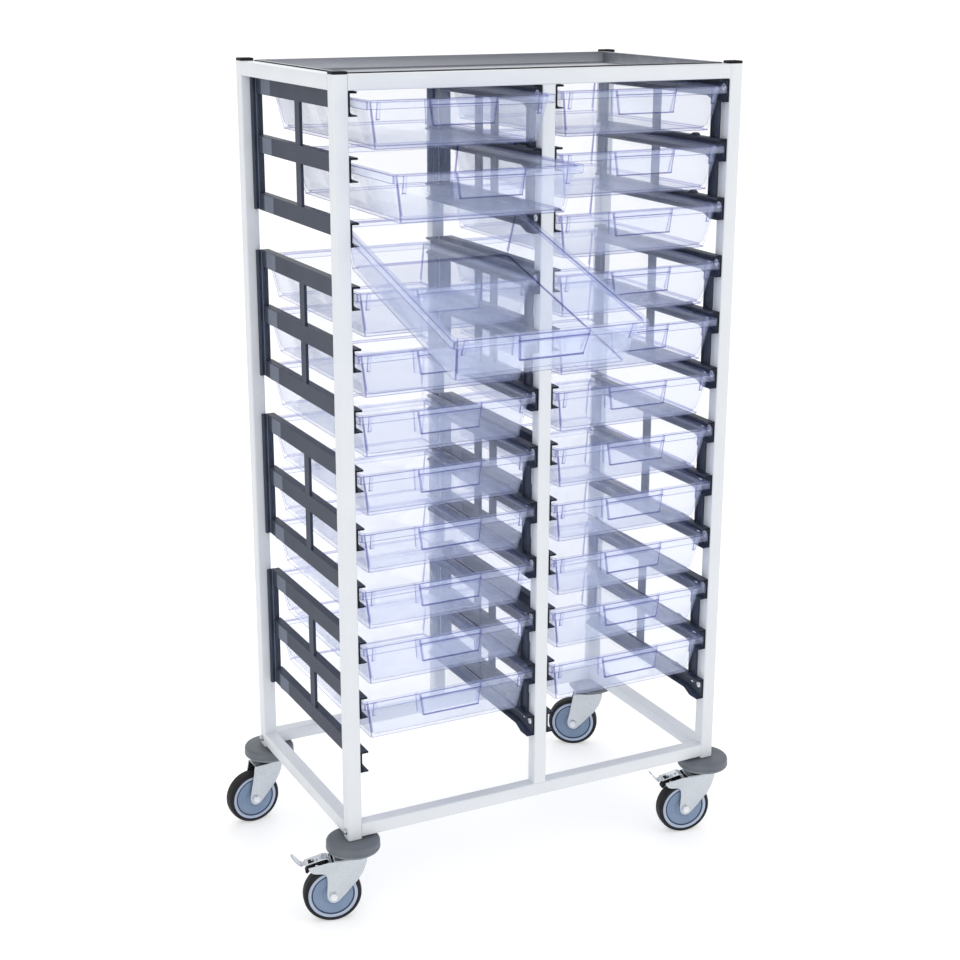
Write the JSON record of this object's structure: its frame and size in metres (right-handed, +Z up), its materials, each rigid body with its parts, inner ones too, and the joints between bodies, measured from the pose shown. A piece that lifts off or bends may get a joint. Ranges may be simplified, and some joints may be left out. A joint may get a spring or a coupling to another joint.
{
  "type": "medical trolley",
  "caption": "Tall open hospital trolley with a square-tube frame, dished top, runner panels, clear sliding trays in two columns and swivel castors.",
  "frame": {"origin": "middle of the base of the bounding box, on the floor, as posed in the picture", "axes": "+Z up; the tray fronts face -Y; +X is to the right when facing the tray fronts"},
  "size_m": [1.0758, 1.022, 1.763],
  "materials": {
    "powder_coat": "white powder coat",
    "stainless": "satin sheet metal",
    "black_plastic": "black moulded plastic",
    "runner_plastic": "charcoal moulded plastic",
    "clear_plastic": "clear moulded plastic",
    "buffer_plastic": "grey moulded plastic",
    "zinc_steel": "zinc-plated pressed steel",
    "wheel_rubber": "charcoal tyre on a moulded centre"
  },
  "bodies": {
    "trolley": {"buffer_fl": "buffer_plastic", "buffer_fr": "buffer_plastic", "buffer_rl": "buffer_plastic", "buffer_rr": "buffer_plastic", "end_cap_fl": "black_plastic", "end_cap_fr": "black_plastic", "end_cap_rl": "black_plastic", "end_cap_rr": "black_plastic", "frame": "powder_coat", "panel_left_centre_1": "runner_plastic", "panel_left_centre_2": "runner_plastic", "panel_left_centre_3": "runner_plastic", "panel_left_centre_4": "runner_plastic", "panel_left_outer_1": "runner_plastic", "panel_left_outer_2": "runner_plastic", "panel_left_outer_3": "runner_plastic", "panel_left_outer_4": "runner_plastic", "panel_right_centre_1": "runner_plastic", "panel_right_centre_2": "runner_plastic", "panel_right_centre_3": "runner_plastic", "panel_right_centre_4": "runner_plastic", "panel_right_outer_1": "runner_plastic", "panel_right_outer_2": "runner_plastic", "panel_right_outer_3": "runner_plastic", "panel_right_outer_4": "runner_plastic", "top_deck": "stainless"},
    "tray_l01": {"tray_l01": "clear_plastic"},
    "tray_l02": {"tray_l02": "clear_plastic"},
    "tray_l03": {"tray_l03": "clear_plastic"},
    "tray_l04": {"tray_l04": "clear_plastic"},
    "tray_l05": {"tray_l05": "clear_plastic"},
    "tray_l06": {"tray_l06": "clear_plastic"},
    "tray_l07": {"tray_l07": "clear_plastic"},
    "tray_l08": {"tray_l08": "clear_plastic"},
    "tray_l09": {"tray_l09": "clear_plastic"},
    "tray_l10": {"tray_l10": "clear_plastic"},
    "tray_l11": {"tray_l11": "clear_plastic"},
    "tray_r01": {"tray_r01": "clear_plastic"},
    "tray_r02": {"tray_r02": "clear_plastic"},
    "tray_r03": {"tray_r03": "clear_plastic"},
    "tray_r04": {"tray_r04": "clear_plastic"},
    "tray_r05": {"tray_r05": "clear_plastic"},
    "tray_r06": {"tray_r06": "clear_plastic"},
    "tray_r07": {"tray_r07": "clear_plastic"},
    "tray_r08": {"tray_r08": "clear_plastic"},
    "tray_r09": {"tray_r09": "clear_plastic"},
    "tray_r10": {"tray_r10": "clear_plastic"},
    "tray_r11": {"tray_r11": "clear_plastic"},
    "castor_fl": {"fork_fl": "zinc_steel"},
    "wheel_fl": {"wheel_fl": "wheel_rubber"},
    "brake_fl": {"brake_fl": "zinc_steel"},
    "castor_fr": {"fork_fr": "zinc_steel"},
    "wheel_fr": {"wheel_fr": "wheel_rubber"},
    "brake_fr": {"brake_fr": "zinc_steel"},
    "castor_rl": {"fork_rl": "zinc_steel"},
    "wheel_rl": {"wheel_rl": "wheel_rubber"},
    "castor_rr": {"fork_rr": "zinc_steel"},
    "wheel_rr": {"wheel_rr": "wheel_rubber"}
  },
  "joints": [
    {"name": "tray_l01_slide", "type": "slide", "parent": "trolley", "child": "tray_l01", "axis": [0, -1, 0], "range_m": [-0.062, 0.378]},
    {"name": "tray_l02_slide", "type": "slide", "parent": "trolley", "child": "tray_l02", "axis": [0, -1, 0], "range_m": [-0.176, 0.264]},
    {"name": "tray_l03_tilt", "type": "hinge", "parent": "trolley", "child": "tray_l03", "pos_m": [-0.1834, -0.02425, 1.45401], "axis": [1, 0, 0], "range_deg": [-15.5, 0]},
    {"name": "tray_l04_slide", "type": "slide", "parent": "trolley", "child": "tray_l04", "axis": [0, -1, 0], "range_m": [0, 0.034]},
    {"name": "tray_l05_slide", "type": "slide", "parent": "trolley", "child": "tray_l05", "axis": [0, -1, 0], "range_m": [0, 0.44]},
    {"name": "tray_l06_slide", "type": "slide", "parent": "trolley", "child": "tray_l06", "axis": [0, -1, 0], "range_m": [0, 0.44]},
    {"name": "tray_l07_slide", "type": "slide", "parent": "trolley", "child": "tray_l07", "axis": [0, -1, 0], "range_m": [0, 0.44]},
    {"name": "tray_l08_slide", "type": "slide", "parent": "trolley", "child": "tray_l08", "axis": [0, -1, 0], "range_m": [0, 0.44]},
    {"name": "tray_l09_slide", "type": "slide", "parent": "trolley", "child": "tray_l09", "axis": [0, -1, 0], "range_m": [0, 0.44]},
    {"name": "tray_l10_slide", "type": "slide", "parent": "trolley", "child": "tray_l10", "axis": [0, -1, 0], "range_m": [0, 0.44]},
    {"name": "tray_l11_slide", "type": "slide", "parent": "trolley", "child": "tray_l11", "axis": [0, -1, 0], "range_m": [0, 0.44]},
    {"name": "tray_r01_slide", "type": "slide", "parent": "trolley", "child": "tray_r01", "axis": [0, -1, 0], "range_m": [0, 0.44]},
    {"name": "tray_r02_slide", "type": "slide", "parent": "trolley", "child": "tray_r02", "axis": [0, -1, 0], "range_m": [0, 0.44]},
    {"name": "tray_r03_slide", "type": "slide", "parent": "trolley", "child": "tray_r03", "axis": [0, -1, 0], "range_m": [0, 0.44]},
    {"name": "tray_r04_slide", "type": "slide", "parent": "trolley", "child": "tray_r04", "axis": [0, -1, 0], "range_m": [0, 0.44]},
    {"name": "tray_r05_slide", "type": "slide", "parent": "trolley", "child": "tray_r05", "axis": [0, -1, 0], "range_m": [0, 0.44]},
    {"name": "tray_r06_slide", "type": "slide", "parent": "trolley", "child": "tray_r06", "axis": [0, -1, 0], "range_m": [0, 0.44]},
    {"name": "tray_r07_slide", "type": "slide", "parent": "trolley", "child": "tray_r07", "axis": [0, -1, 0], "range_m": [0, 0.44]},
    {"name": "tray_r08_slide", "type": "slide", "parent": "trolley", "child": "tray_r08", "axis": [0, -1, 0], "range_m": [0, 0.44]},
    {"name": "tray_r09_slide", "type": "slide", "parent": "trolley", "child": "tray_r09", "axis": [0, -1, 0], "range_m": [0, 0.44]},
    {"name": "tray_r10_slide", "type": "slide", "parent": "trolley", "child": "tray_r10", "axis": [0, -1, 0], "range_m": [0, 0.44]},
    {"name": "tray_r11_slide", "type": "slide", "parent": "trolley", "child": "tray_r11", "axis": [0, -1, 0], "range_m": [0, 0.44]},
    {"name": "castor_fl_swivel", "type": "hinge", "parent": "trolley", "child": "castor_fl", "pos_m": [-0.40465, -0.06525, 0.16947], "axis": [0, 0, 1], "continuous": true},
    {"name": "wheel_fl_spin", "type": "hinge", "parent": "castor_fl", "child": "wheel_fl", "pos_m": [-0.45033, -0.0542, 0.06196], "axis": [0.2351, 0.972, 0], "continuous": true},
    {"name": "brake_fl_pedal", "type": "hinge", "parent": "castor_fl", "child": "brake_fl", "pos_m": [-0.45325, -0.05349, 0.13647], "axis": [0.2351, 0.972, 0], "range_deg": [-12, 0]},
    {"name": "castor_fr_swivel", "type": "hinge", "parent": "trolley", "child": "castor_fr", "pos_m": [0.48035, -0.06525, 0.16947], "axis": [0, 0, 1], "continuous": true},
    {"name": "wheel_fr_spin", "type": "hinge", "parent": "castor_fr", "child": "wheel_fr", "pos_m": [0.4342, -0.05636, 0.06196], "axis": [0.1891, 0.982, 0], "continuous": true},
    {"name": "brake_fr_pedal", "type": "hinge", "parent": "castor_fr", "child": "brake_fr", "pos_m": [0.43125, -0.05579, 0.13647], "axis": [0.1891, 0.982, 0], "range_deg": [-12, 0]},
    {"name": "castor_rl_swivel", "type": "hinge", "parent": "trolley", "child": "castor_rl", "pos_m": [-0.40465, 0.44475, 0.16947], "axis": [0, 0, 1], "continuous": true},
    {"name": "wheel_rl_spin", "type": "hinge", "parent": "castor_rl", "child": "wheel_rl", "pos_m": [-0.45153, 0.44139, 0.06196], "axis": [-0.0715, 0.9974, 0], "continuous": true},
    {"name": "castor_rr_swivel", "type": "hinge", "parent": "trolley", "child": "castor_rr", "pos_m": [0.48035, 0.44475, 0.16947], "axis": [0, 0, 1], "continuous": true},
    {"name": "wheel_rr_spin", "type": "hinge", "parent": "castor_rr", "child": "wheel_rr", "pos_m": [0.4399, 0.46868, 0.06196], "axis": [0.509, 0.8607, 0], "continuous": true}
  ]
}
